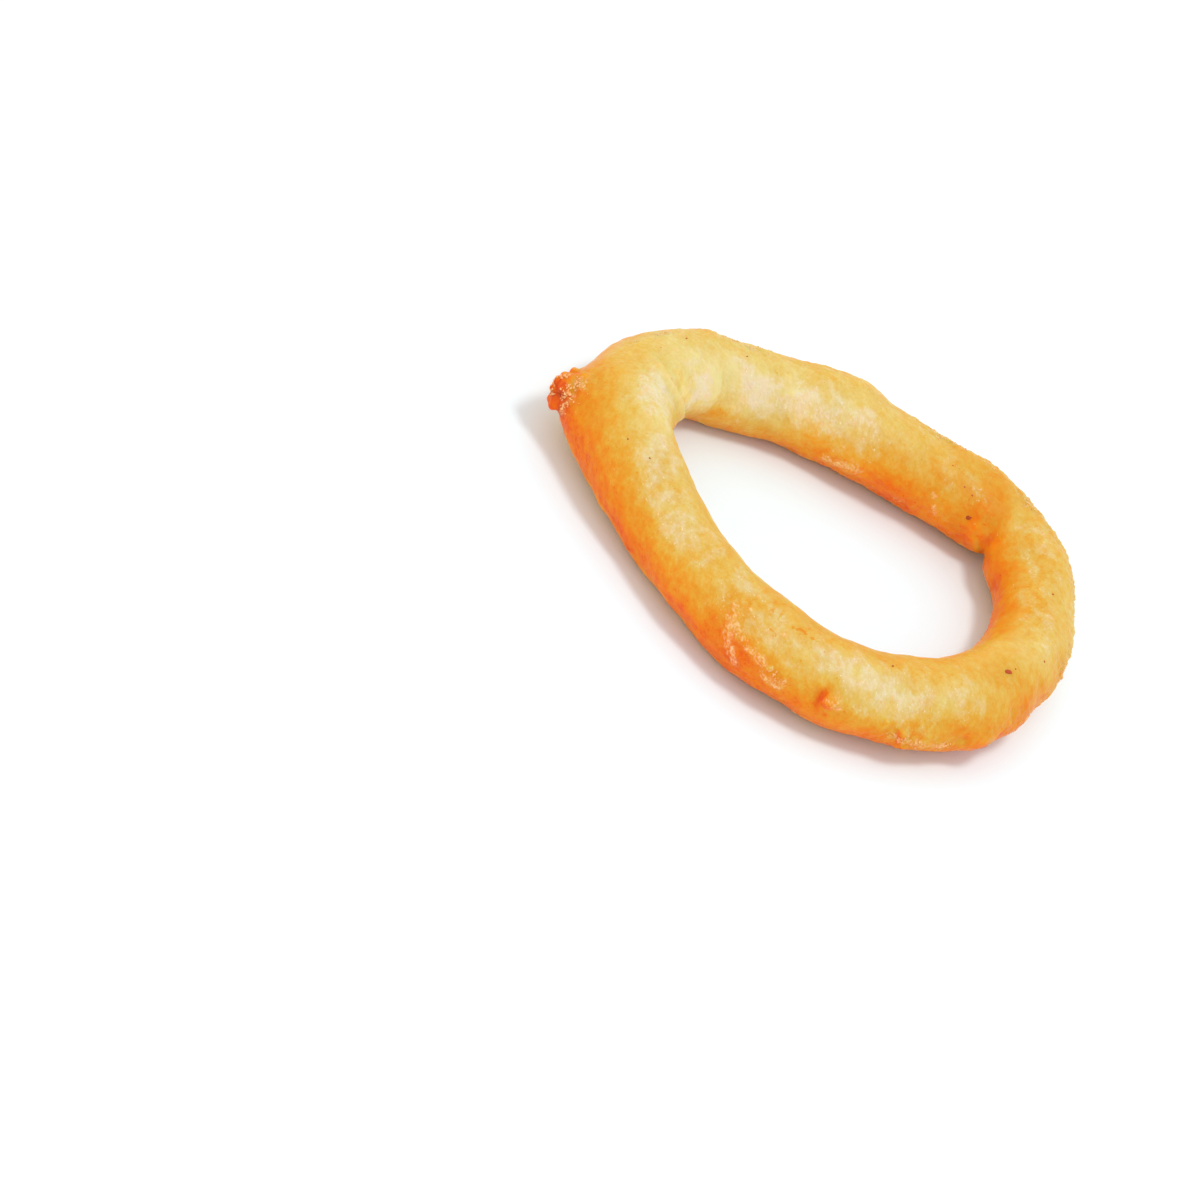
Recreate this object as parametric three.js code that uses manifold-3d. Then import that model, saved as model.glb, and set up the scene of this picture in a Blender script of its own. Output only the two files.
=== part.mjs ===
// A battered, deep-fried onion ring, lying flat on its own.
//
// The slice of onion is sealed all round in puffed batter, so the ring is one closed solid: a plump
// tube of batter swept round a lopsided oval, swollen and creased where the batter ran thick or
// folded over, with a knob of fried crumbs at its pointed end and small flats where it lies.
//
// Units are millimetres, +Z is up and X runs along the ring's length. The origin is on the surface
// that the ring lies on, under the middle of its footprint.
//
// A place on the batter is given by two angles in degrees. "turn" goes round the ring, anticlockwise
// seen from above, from the +X end. "side" goes round the tube: 0 faces away from the ring's middle,
// 90 is the top, 180 faces the hole and 270 is underneath.
import * as THREE from "three";
import { ImprovedNoise } from "three/addons/math/ImprovedNoise.js";
import { mergeVertices } from "three/addons/utils/BufferGeometryUtils.js";
import Module from "manifold-3d";

// The ring's course: how far the middle of the tube lies from the ring's middle.
const MEAN_REACH = 31.6;
const REACH_WAVES = [
  { count: 1, height: 0.3, crest: 323 },
  { count: 2, height: 4.4, crest: 0 }, // the long oval
  { count: 3, height: 2.1, crest: 49 }, // pointed at -X, blunt at +X
  { count: 4, height: 0.3, crest: 85 },
  { count: 5, height: 0.65, crest: 38 },
  { count: 6, height: 0.4, crest: 53 },
];

// The tube: the radius of the batter round the onion.
const MEAN_GIRTH = 6.95;
const GIRTH_WAVES = [
  { count: 1, height: 0.3, crest: 215 },
  { count: 2, height: 0.3, crest: 157 },
  { count: 3, height: 0.2, crest: 76 },
  { count: 4, height: 0.2, crest: 7 },
  { count: 5, height: 0.2, crest: 46 },
];

// The ring doesn't lie quite true: it touches down in three stretches and arches a little between.
const SQUAT = 0.94; // height of the tube's middle above the surface, as a share of its radius
const ARCH_WAVES = [{ count: 3, height: 0.45, crest: 64 }];
const MEAN_ARCH = 0.42;

// Slow swells and small puckers of the puffed batter: their size along the crust and their height.
const RELIEF = [
  { size: 11, height: 0.75, seed: 3.7 },
  { size: 5.2, height: 0.4, seed: 11.3 },
  { size: 2.6, height: 0.16, seed: 23.9 },
];

// Places where the batter swelled (height above 0) or was pinched in (below 0), with how far each
// spreads along the ring and round the tube.
const FEATURES = [
  // the pointed end
  { name: "pointed end", turn: 188, side: 352, along: 5.2, around: 5.2, height: 2.2 },
  { name: "knob", turn: 186, side: 4, along: 2.4, around: 2.5, height: 2.9 },
  { name: "plump shoulder", turn: 196, side: 92, along: 5.0, around: 4.6, height: 0.9 },
  { name: "fold beside it", turn: 184, side: 134, along: 1.2, around: 4.6, height: -1.2 },
  { name: "hollow below it", turn: 199, side: 152, along: 3.6, around: 4.4, height: -1.3 },
  // the +Y side
  { name: "back slope", turn: 170, side: 38, along: 4.0, around: 4.0, height: -0.6 },
  { name: "hump", turn: 156, side: 66, along: 4.5, around: 3.5, height: 0.8 },
  { name: "first swell", turn: 167, side: 128, along: 2.8, around: 4.5, height: 0.5 },
  { name: "second swell", turn: 143, side: 128, along: 2.6, around: 4.5, height: 0.5 },
  { name: "third swell", turn: 127, side: 128, along: 2.6, around: 4.5, height: 0.5 },
  { name: "outer corner", turn: 110, side: 60, along: 2.6, around: 4.0, height: 0.6 },
  { name: "slack after it", turn: 99, side: 62, along: 3.4, around: 4.0, height: -0.6 },
  // the blunt end, with a sharp corner in the hole
  { name: "frilled rim", turn: 62, side: 66, along: 3.5, around: 2.0, height: 0.6 },
  { name: "hollow before the corner", turn: 54, side: 200, along: 2.6, around: 6.0, height: -0.8 },
  { name: "pinched corner", turn: 49, side: 215, along: 1.6, around: 8.0, height: -2.4 },
  { name: "bulge past the corner", turn: 38, side: 190, along: 3.2, around: 4.0, height: 0.8 },
  { name: "slack outside it", turn: 45, side: 56, along: 4.0, around: 4.5, height: -0.7 },
  { name: "small nick", turn: 3, side: 28, along: 1.2, around: 2.2, height: -0.5 },
  { name: "wide nick", turn: 353, side: 356, along: 2.2, around: 3.4, height: -1.0 },
  // the -Y side
  { name: "lower bump", turn: 333, side: 350, along: 2.6, around: 2.4, height: 0.7 },
  { name: "lower dimple", turn: 326, side: 358, along: 1.4, around: 1.6, height: -0.6 },
  { name: "blister", turn: 294, side: 20, along: 1.4, around: 1.4, height: 0.8 },
  { name: "pit beside it", turn: 290.5, side: 20, along: 0.9, around: 1.2, height: -0.7 },
  { name: "outer slack", turn: 243, side: 328, along: 5.0, around: 4.5, height: -0.5 },
  { name: "inner swell", turn: 237, side: 135, along: 5.5, around: 4.5, height: 0.6 },
];

// Fried crumbs fused to the crust: where each patch is, how far it spreads, and its crumbs.
const CRUMB_PATCHES = [
  { name: "on the knob", turn: 186, side: 8, spread: 2.2, count: 14, radius: 1.15 },
  { name: "along the lower rim", turn: 314, side: 350, spread: 2.2, count: 5, radius: 0.95 },
];
const CRUMB_SINK = 0.4; // how deep a crumb's middle lies in the batter, as a share of its radius
const CRUMB_UNEVENNESS = 0.45; // how far its corners stray, as a share of its radius
const CRUMB_SEED = 20;

// Fineness of the faceted solid.
const STEPS_ROUND = 116;
const STEPS_ACROSS = 40;

const wasm = await Module();
wasm.setup();
const noise = new ImprovedNoise();

const radians = THREE.MathUtils.degToRad;

// Sum of cosine waves round the ring; each has its crest at an angle in degrees.
function waves(list, turn) {
  return list.reduce((sum, w) => sum + w.height * Math.cos(w.count * radians(turn - w.crest)), 0);
}

const girth = (turn) => MEAN_GIRTH + waves(GIRTH_WAVES, turn);

// Middle of the tube at an angle round the ring.
function core(turn) {
  const reach = MEAN_REACH + waves(REACH_WAVES, turn);
  const height = SQUAT * girth(turn) + MEAN_ARCH + waves(ARCH_WAVES, turn);
  return new THREE.Vector3(reach * Math.cos(radians(turn)), reach * Math.sin(radians(turn)), height);
}

// Direction that a side of the tube faces, square to the ring's course.
function facing(turn, side) {
  const step = 0.5;
  const course = core(turn + step).sub(core(turn - step));
  const outward = new THREE.Vector3(course.y, -course.x, 0).normalize();
  const up = new THREE.Vector3(0, 0, 1);
  return outward.multiplyScalar(Math.cos(radians(side))).addScaledVector(up, Math.sin(radians(side)));
}

// Smallest difference between two angles, from -180 to 180 degrees.
const apart = (a, b) => ((((a - b + 180) % 360) + 360) % 360) - 180;

// Rise of the named swellings and folds at a place on the tube.
function featureRise(turn, side) {
  const reach = MEAN_REACH + waves(REACH_WAVES, turn);
  return FEATURES.reduce((sum, f) => {
    const along = (radians(apart(turn, f.turn)) * reach) / f.along;
    const around = (radians(apart(side, f.side)) * girth(turn)) / f.around;
    return sum + f.height * Math.exp(-along * along - around * around);
  }, 0);
}

// Rise of the batter's own lumps at a point in space.
function reliefRise(point) {
  return RELIEF.reduce((sum, r) => {
    const p = point.clone().divideScalar(r.size).addScalar(r.seed);
    return sum + r.height * noise.noise(p.x, p.y, p.z);
  }, 0);
}

// A point on the crust. Batter that would sag below the surface is flattened against it.
function crust(turn, side) {
  const outward = facing(turn, side);
  const plain = core(turn).addScaledVector(outward, girth(turn));
  const rise = reliefRise(plain) + featureRise(turn, side);
  const point = plain.addScaledVector(outward, rise);
  point.z = Math.max(point.z, 0);
  return point;
}

// The swept tube as one closed indexed geometry.
function tubeGeometry() {
  const positions = [];
  const index = [];
  for (let i = 0; i < STEPS_ROUND; i++) {
    for (let j = 0; j < STEPS_ACROSS; j++) {
      positions.push(...crust((360 * i) / STEPS_ROUND, (360 * j) / STEPS_ACROSS).toArray());
      const nextRound = ((i + 1) % STEPS_ROUND) * STEPS_ACROSS;
      const here = i * STEPS_ACROSS;
      const nextAcross = (j + 1) % STEPS_ACROSS;
      const [a, b, c, d] = [here + j, nextRound + j, nextRound + nextAcross, here + nextAcross];
      index.push(a, b, c, a, c, d);
    }
  }
  const geometry = new THREE.BufferGeometry();
  geometry.setAttribute("position", new THREE.Float32BufferAttribute(positions, 3));
  geometry.setIndex(index);
  return geometry;
}

// Repeatable draws from 0 to 1.
function draws(seed) {
  let state = seed;
  return () => {
    state = (state * 1664525 + 1013904223) % 4294967296;
    return state / 4294967296;
  };
}

// One crumb: a small knobbly ball of batter.
function crumbGeometry(radius, draw) {
  const geometry = new THREE.IcosahedronGeometry(radius, 1);
  geometry.deleteAttribute("normal");
  geometry.deleteAttribute("uv");
  const ball = mergeVertices(geometry);
  const position = ball.getAttribute("position");
  const corner = new THREE.Vector3();
  for (let i = 0; i < position.count; i++) {
    corner.fromBufferAttribute(position, i).multiplyScalar(1 + CRUMB_UNEVENNESS * (draw() - 0.5));
    position.setXYZ(i, corner.x, corner.y, corner.z);
  }
  return ball;
}

// The crumbs of every patch, each half buried in the crust.
function crumbGeometries() {
  const draw = draws(CRUMB_SEED);
  const crumbs = [];
  for (const patch of CRUMB_PATCHES) {
    for (let k = 0; k < patch.count; k++) {
      const away = patch.spread * Math.sqrt(draw());
      const heading = 2 * Math.PI * draw();
      const radius = patch.radius * (0.65 + 0.6 * draw());
      const reach = core(patch.turn).setZ(0).length();
      const turn = patch.turn + THREE.MathUtils.radToDeg((away * Math.cos(heading)) / reach);
      const side = patch.side + THREE.MathUtils.radToDeg((away * Math.sin(heading)) / girth(turn));
      const place = crust(turn, side).addScaledVector(facing(turn, side), -CRUMB_SINK * radius);
      crumbs.push(crumbGeometry(radius, draw).translate(place.x, place.y, place.z));
    }
  }
  return crumbs;
}

// A closed geometry as a manifold-3d solid, and back again.
function solidOf(geometry) {
  return new wasm.Manifold(
    new wasm.Mesh({
      numProp: 3,
      vertProperties: new Float32Array(geometry.getAttribute("position").array),
      triVerts: new Uint32Array(geometry.getIndex().array),
    }),
  );
}

function geometryOf(solid) {
  const mesh = solid.getMesh();
  const geometry = new THREE.BufferGeometry();
  geometry.setAttribute("position", new THREE.BufferAttribute(mesh.vertProperties, 3));
  geometry.setIndex(new THREE.BufferAttribute(mesh.triVerts, 1));
  geometry.computeVertexNormals();
  return geometry;
}

// The ring: the tube with its crumbs fused on, centred over the middle of its footprint.
function ringGeometry() {
  const whole = crumbGeometries().reduce((sum, crumb) => sum.add(solidOf(crumb)), solidOf(tubeGeometry()));
  const geometry = geometryOf(whole);
  geometry.computeBoundingBox();
  const middle = geometry.boundingBox.getCenter(new THREE.Vector3());
  return geometry.translate(-middle.x, -middle.y, 0);
}

const friedBatter = new THREE.MeshStandardMaterial({ color: 0xeeb04c, roughness: 0.5, metalness: 0 });

const ring = new THREE.Mesh(ringGeometry(), friedBatter);
ring.name = "battered_ring";

const onionRing = new THREE.Group();
onionRing.add(ring);

export default onionRing;
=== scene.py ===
# %% [markdown]
# # A battered, deep-fried onion ring
#
# The solid model gives the ring its true size, outline and swells. This script dresses it: a crust
# with fine relief, fried crumbs stuck to it, burnt specks, and the batter's colours, with painted
# light and painted shade in them.
# Everything is in metres, in the frame of the solid model, which stands on z = 0.

# %% The frame
import math

import bmesh
import bpy
import numpy as np
from mathutils import Matrix, Vector
from mathutils.bvhtree import BVHTree


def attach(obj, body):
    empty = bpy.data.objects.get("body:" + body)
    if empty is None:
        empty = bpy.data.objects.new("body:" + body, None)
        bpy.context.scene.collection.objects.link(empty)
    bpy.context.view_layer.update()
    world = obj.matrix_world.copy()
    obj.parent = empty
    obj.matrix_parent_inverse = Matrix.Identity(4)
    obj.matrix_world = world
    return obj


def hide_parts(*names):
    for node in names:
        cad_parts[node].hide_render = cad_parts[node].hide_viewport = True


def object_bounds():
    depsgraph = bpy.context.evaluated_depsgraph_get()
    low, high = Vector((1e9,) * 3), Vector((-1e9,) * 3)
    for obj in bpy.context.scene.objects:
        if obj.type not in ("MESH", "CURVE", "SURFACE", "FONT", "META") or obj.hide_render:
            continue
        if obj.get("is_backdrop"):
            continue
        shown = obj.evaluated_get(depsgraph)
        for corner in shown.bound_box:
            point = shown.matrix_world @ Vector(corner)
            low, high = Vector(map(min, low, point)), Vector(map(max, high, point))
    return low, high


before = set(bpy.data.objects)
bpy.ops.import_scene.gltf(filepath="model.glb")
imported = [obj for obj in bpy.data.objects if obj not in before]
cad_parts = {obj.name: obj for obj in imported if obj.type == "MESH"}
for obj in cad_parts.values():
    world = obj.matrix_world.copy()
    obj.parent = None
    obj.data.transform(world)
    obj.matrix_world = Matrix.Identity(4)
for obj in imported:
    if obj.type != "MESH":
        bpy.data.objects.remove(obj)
CAD_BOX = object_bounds()
RING_NODE = "battered_ring"
BODY = "root"
MM = 0.001
ring_size = CAD_BOX[1] - CAD_BOX[0]
print("solid model, mm:", [round(side / MM, 1) for side in ring_size])

# %% [markdown]
# ## Camera
#
# The ring lies flat and is looked at from 40 degrees above its plane, with the camera rolled so that
# the pointed end is at the upper left. A very long lens keeps the near and far sides of the ring the
# same thickness, as in a picture taken from a good way off.

# %% Camera
ELEVATION = math.radians(40)
ROLL = math.radians(34)
LENS = 900 * MM
SENSOR = 36 * MM
PICTURE_WIDTH = 185.8 * MM  # how much the picture takes in, across, at the ring
RIGHT_OF_MIDDLE = 29.0 * MM  # where the ring's origin falls in the picture
ABOVE_MIDDLE = 6.2 * MM


def make_camera():
    back = Vector((0, -math.cos(ELEVATION), math.sin(ELEVATION)))
    level_up = Vector((0, math.sin(ELEVATION), math.cos(ELEVATION)))
    level_right = Vector((1, 0, 0))
    right = math.cos(ROLL) * level_right + math.sin(ROLL) * level_up
    up = math.cos(ROLL) * level_up - math.sin(ROLL) * level_right
    place = back * (PICTURE_WIDTH * LENS / SENSOR)
    aim = -right * RIGHT_OF_MIDDLE - up * ABOVE_MIDDLE
    forward = (aim - place).normalized()
    across = forward.cross(up).normalized()
    data = bpy.data.cameras.new("camera")
    data.lens = LENS / MM
    data.sensor_width = SENSOR / MM
    camera = bpy.data.objects.new("camera", data)
    turned = Matrix((across, across.cross(forward), -forward)).transposed()
    camera.matrix_world = Matrix.Translation(place) @ turned.to_4x4()
    bpy.context.scene.collection.objects.link(camera)
    bpy.context.scene.camera = camera
    return camera


camera = make_camera()
print("camera at, mm:", [round(c / MM) for c in camera.matrix_world.translation])

# %% [markdown]
# ## Floor and light
#
# A pale table in a bright white room, under a soft lamp that stands high, a little to the side. The
# room and the table light the ring from all around, which keeps its flanks bright and saturated. The
# lamp gives a soft shadow and small glints on the oily crust.

# %% Floor and light
FLOOR_SIDE = 6.0
FLOOR_DROP = 0.05 * MM  # keeps the floor from coinciding with the flats of the ring
FLOOR_COLOUR = (0.80, 0.90, 0.94)  # a cool white, which evens out the orange cast of the ring
ROOM_STRENGTH = 1.0
LAMP_WIDTH = 0.22
LAMP_PLACE = Vector((0.20, -0.10, 0.88))
LAMP_POWER = 2.6


def make_floor():
    bpy.ops.mesh.primitive_plane_add(size=FLOOR_SIDE, location=(0, 0, -FLOOR_DROP))
    floor = bpy.context.object
    floor.name = "floor"
    paper = bpy.data.materials.new("floor_white")
    paper.use_nodes = True
    shader = paper.node_tree.nodes["Principled BSDF"]
    shader.inputs["Base Color"].default_value = (*FLOOR_COLOUR, 1)
    shader.inputs["Roughness"].default_value = 0.9
    shader.inputs["Specular IOR Level"].default_value = 0.1
    floor.data.materials.append(paper)
    return floor


def make_lamp():
    data = bpy.data.lights.new("soft_light", "AREA")
    data.shape = "DISK"
    data.size = LAMP_WIDTH
    data.energy = LAMP_POWER
    lamp = bpy.data.objects.new("soft_light", data)
    lamp.location = LAMP_PLACE
    lamp.rotation_euler = LAMP_PLACE.to_track_quat("Z", "Y").to_euler()
    bpy.context.scene.collection.objects.link(lamp)


def make_room():
    world = bpy.data.worlds.new("white_room")
    world.use_nodes = True
    background = world.node_tree.nodes["Background"]
    background.inputs["Color"].default_value = (1, 1, 1, 1)
    background.inputs["Strength"].default_value = ROOM_STRENGTH
    bpy.context.scene.world = world
    bpy.context.scene.view_settings.view_transform = "Standard"


make_floor()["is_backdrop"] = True
make_lamp()
make_room()
print("lamp", LAMP_POWER, "W, room", ROOM_STRENGTH)

# %% [markdown]
# ## The smooth body
#
# The faceted solid is rounded by subdivision. A voxel remesh then wraps it in an even skin of small
# quads, fine enough to carry relief down to about a millimetre, and Shrinkwrap lays that skin exactly
# on the rounded body, because a remesh alone leaves faint terraces. The solid itself is only copied.

# %% The smooth body
SKIN_STEP = 0.37 * MM  # size of the quads of the skin


def new_object(name, mesh):
    piece = bpy.data.objects.new(name, mesh)
    bpy.context.scene.collection.objects.link(piece)
    return piece


def settled(piece):
    """The piece with its modifiers made into plain mesh."""
    graph = bpy.context.evaluated_depsgraph_get()
    mesh = bpy.data.meshes.new_from_object(piece.evaluated_get(graph))
    piece.modifiers.clear()
    piece.data = mesh
    mesh.name = piece.name
    return piece


def make_rounded():
    """The solid, rounded and finely divided."""
    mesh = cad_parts[RING_NODE].data.copy()
    mesh.materials.clear()
    work = bmesh.new()
    work.from_mesh(mesh)
    bmesh.ops.remove_doubles(work, verts=work.verts, dist=0.001 * MM)
    bmesh.ops.join_triangles(
        work, faces=work.faces, angle_face_threshold=0.7, angle_shape_threshold=0.9
    )
    work.to_mesh(mesh)
    work.free()
    body = new_object("rounded", mesh)
    rounding = body.modifiers.new("rounding", "SUBSURF")
    rounding.levels = rounding.render_levels = 2
    return settled(body)


def make_skin():
    rounded = make_rounded()
    skin = new_object("battered_crust", rounded.data.copy())
    wrap = skin.modifiers.new("even skin", "REMESH")
    wrap.mode = "VOXEL"
    wrap.voxel_size = SKIN_STEP
    wrap.use_smooth_shade = True
    ease = skin.modifiers.new("ease", "SMOOTH")
    ease.factor = 0.5
    ease.iterations = 4
    lay = skin.modifiers.new("lay on the body", "SHRINKWRAP")
    lay.target = rounded
    lay.wrap_method = "NEAREST_SURFACEPOINT"
    settled(skin)
    bpy.data.objects.remove(rounded)
    return skin


crust = make_skin()
print("skin:", len(crust.data.polygons), "quads")

# %% [markdown]
# ## Places on the crust
#
# A place is given by two angles in degrees: "turn" round the hole, anticlockwise from +X as seen from
# above, and "side" round the tube, with 0 facing out, 90 on top and 180 facing the hole. Rays cast
# through the skin find the hole's middle, the middle of the tube at any turn, and the place itself.

# %% Places on the crust
FAR = 0.2


class Crust:
    """Finds places on the skin by casting rays."""

    def __init__(self, mesh):
        corners = [v.co for v in mesh.vertices]
        self.tree = BVHTree.FromPolygons(corners, [p.vertices for p in mesh.polygons])
        self.height = (CAD_BOX[0].z + CAD_BOX[1].z) / 2
        self.middle = self.hole_middle()

    def hit(self, start, heading):
        return self.tree.ray_cast(start, heading)[0]

    def hole_middle(self):
        start = Vector((0, 0, self.height))
        ways = ((1, 0, 0), (-1, 0, 0), (0, 1, 0), (0, -1, 0))
        ends = [self.hit(start, Vector(way)) for way in ways]
        return Vector(((ends[0].x + ends[1].x) / 2, (ends[2].y + ends[3].y) / 2, self.height))

    def section(self, turn):
        """Middle of the tube at a turn, and the direction out from the hole."""
        angle = math.radians(turn)
        out = Vector((math.cos(angle), math.sin(angle), 0))
        inner = self.hit(self.middle, out)
        outer = self.hit(self.middle + out * FAR, -out)
        centre = (inner + outer) / 2
        top = self.hit(Vector((centre.x, centre.y, FAR)), Vector((0, 0, -1)))
        under = self.hit(Vector((centre.x, centre.y, -FAR)), Vector((0, 0, 1)))
        centre.z = (top.z + under.z) / 2
        return centre, out

    def place(self, turn, side):
        centre, out = self.section(turn)
        angle = math.radians(side)
        return self.hit(centre, math.cos(angle) * out + math.sin(angle) * Vector((0, 0, 1)))


places = Crust(crust.data)
print("middle of the hole, mm:", [round(c / MM, 1) for c in places.middle])

# %% [markdown]
# Small helpers read the skin's points into arrays, measure how near each point is to a place or to
# a path through several places, and keep the results on the skin as named attributes.

# %% Reading and marking the skin
END_FADE = 0.4  # past the ends of its path a ledge fades over this share of its width


def corners_of(mesh):
    flat = np.empty(len(mesh.vertices) * 3)
    mesh.vertices.foreach_get("co", flat)
    return flat.reshape(-1, 3)


def normals_of(mesh):
    flat = np.empty(len(mesh.vertices) * 3)
    mesh.vertex_normals.foreach_get("vector", flat)
    return flat.reshape(-1, 3)


def along(points, path):
    """For each point: the offset from the nearest place on the path, the path's direction there,
    and its strength. A place may carry a third number, its strength, which blends along."""
    stops = [np.array(places.place(turn, side)) for turn, side, *_ in path]
    strengths = [rest[0] if rest else 1.0 for _, _, *rest in path]
    if len(path) == 1:
        stops, strengths = stops * 2, strengths * 2
    offset = np.full((len(points), 3), np.inf)
    heading = np.zeros((len(points), 3))
    strength = np.zeros(len(points))
    for k in range(len(stops) - 1):
        span = stops[k + 1] - stops[k]
        share = np.clip((points - stops[k]) @ span / max(span @ span, 1e-12), 0, 1)
        away = points - stops[k] - share[:, None] * span
        closer = np.linalg.norm(away, axis=1) < np.linalg.norm(offset, axis=1)
        offset[closer] = away[closer]
        heading[closer] = span / max(np.linalg.norm(span), 1e-9)
        strength[closer] = (strengths[k] + share * (strengths[k + 1] - strengths[k]))[closer]
    return offset, heading, strength


def nearness(points, path, spread):
    """1 on the path through the places, falling smoothly to nothing over about twice the spread."""
    offset, _, strength = along(points, path)
    return strength * np.exp(-((np.linalg.norm(offset, axis=1) / spread) ** 2))


def dome(points, place, radius):
    """1 at the place, round like a dome, and nothing beyond the radius."""
    offset, _, _ = along(points, [place])
    return np.clip(1 - (np.linalg.norm(offset, axis=1) / radius) ** 2, 0, 1)


def ledge(points, normals, path, edge, back):
    """0 to the right of the path, 1 just to its left, fading to the left over about back."""
    offset, heading, strength = along(points, path)
    left = np.cross(normals, heading)
    left /= np.maximum(np.linalg.norm(left, axis=1), 1e-9)[:, None]
    across = (offset * left).sum(axis=1)
    beyond = (offset * heading).sum(axis=1)
    rise = np.clip(0.5 + across / edge, 0, 1)
    rise = rise * rise * (3 - 2 * rise)
    reach = np.linalg.norm(offset, axis=1)
    fade = np.exp(-((reach / back) ** 2) - (beyond / (END_FADE * back)) ** 2)
    return strength * rise * fade


def store(mesh, name, values):
    layer = mesh.attributes.new(name, "FLOAT", "POINT")
    layer.data.foreach_set("value", values.astype(np.float32))


# %% [markdown]
# ## Folds, blisters and pits
#
# Where the batter doubled over, one side of the fold stands over the other like a ledge. Steam raised
# blisters, and bubbles that burst in the oil left shallow pits. Each is a push along the skin's
# normals.

# %% Folds, blisters and pits
LEDGES = [  # path with the raised skin on its left; height, width of the step, width behind it, mm; and how much paler the raised skin is painted, as painted light on it against painted shade below the step
    # and how much paler the raised skin stays
    # the plump shoulder, folded over the start of the +Y side
    (
        [(168, 186), (171.1, 170), (175.2, 145), (177.2, 122), (176.6, 104, 0.7), (175, 90, 0.2)],
        (0.9, 0.8, 3.6, 0.14),
    ),
    # the sharp corner in the hole
    ([(47.8, 214), (49, 180), (50.4, 145, 0.6), (51.2, 118, 0)], (0.5, 0.6, 2.4, 0.0)),
    # the far edges of the first two swells
    ([(157.5, 182), (156, 158), (155.2, 140), (155, 124, 0.3)], (0.25, 0.5, 3.2, 0.12)),
    ([(136, 168, 0.4), (135, 150), (134.5, 132, 0.3)], (0.15, 0.7, 3.2, 0.08)),
]
BLISTERS = [  # turn, side, radius and height in mm, how much browner
    (293.8, 15.0, 1.8, 0.62, 0.10),
    (334.0, 2.0, 1.7, 0.4, 0.04),
    (316.0, 352.0, 1.1, 0.3, 0.0),
    (276.7, 15.0, 0.6, 0.2, -0.1),
]
PUSHES = [  # path of (turn, side, strength), spread and push in mm; a push below 0 goes in
    # the slack between the swells
    ([(153, 165), (153, 145, 0.7), (154, 122, 0)], 1.6, -0.22),
    ([(133, 165), (133.5, 140, 0.7), (134, 118, 0)], 1.6, -0.2),
    # the soft groove round one side of the largest blister
    ([(291.6, 356, 0.5), (290.9, 3), (290.7, 12), (291.0, 20, 0.8), (292.2, 28, 0.3)], 0.6, -0.26),
    # dimples by the lower rim
    ([(329, 359)], 1.0, -0.35),
    ([(339, 354)], 0.8, -0.4),
    ([(342, 27)], 0.9, -0.3),
    ([(354, 40)], 0.9, -0.3),
    # a few shallow dents in the crown
    ([(268, 60)], 2.6, -0.25),
    ([(300, 62)], 2.4, 0.2),
    ([(312, 66)], 2.0, -0.2),
    ([(327, 62)], 2.4, 0.18),
    ([(215, 60)], 2.6, -0.2),
    ([(240, 50)], 2.6, 0.2),
    ([(20, 100)], 2.4, 0.2),
    ([(8, 84)], 2.2, -0.2),
    ([(33, 110)], 2.2, -0.2),
    ([(66, 120)], 2.2, 0.2),
    ([(88, 120)], 2.6, -0.18),
    ([(104, 130)], 2.6, 0.2),
]


def push_skin(mesh):
    points, normals = corners_of(mesh), normals_of(mesh)
    push = np.zeros(len(points))
    for path, (height, edge, back, _) in LEDGES:
        push += height * MM * ledge(points, normals, path, edge * MM, back * MM)
    for turn, side, radius, height, _ in BLISTERS:
        push += height * MM * dome(points, (turn, side), radius * MM)
    for path, spread, amount in PUSHES:
        push += amount * MM * nearness(points, path, spread * MM)
    mesh.vertices.foreach_set("co", (points + normals * push[:, None]).ravel())
    mesh.update()
    return push


smooth_points, smooth_normals = corners_of(crust.data), normals_of(crust.data)
push = push_skin(crust.data)
print("pushes from", round(push.min() / MM, 2), "to", round(push.max() / MM, 2), "mm")
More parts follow.
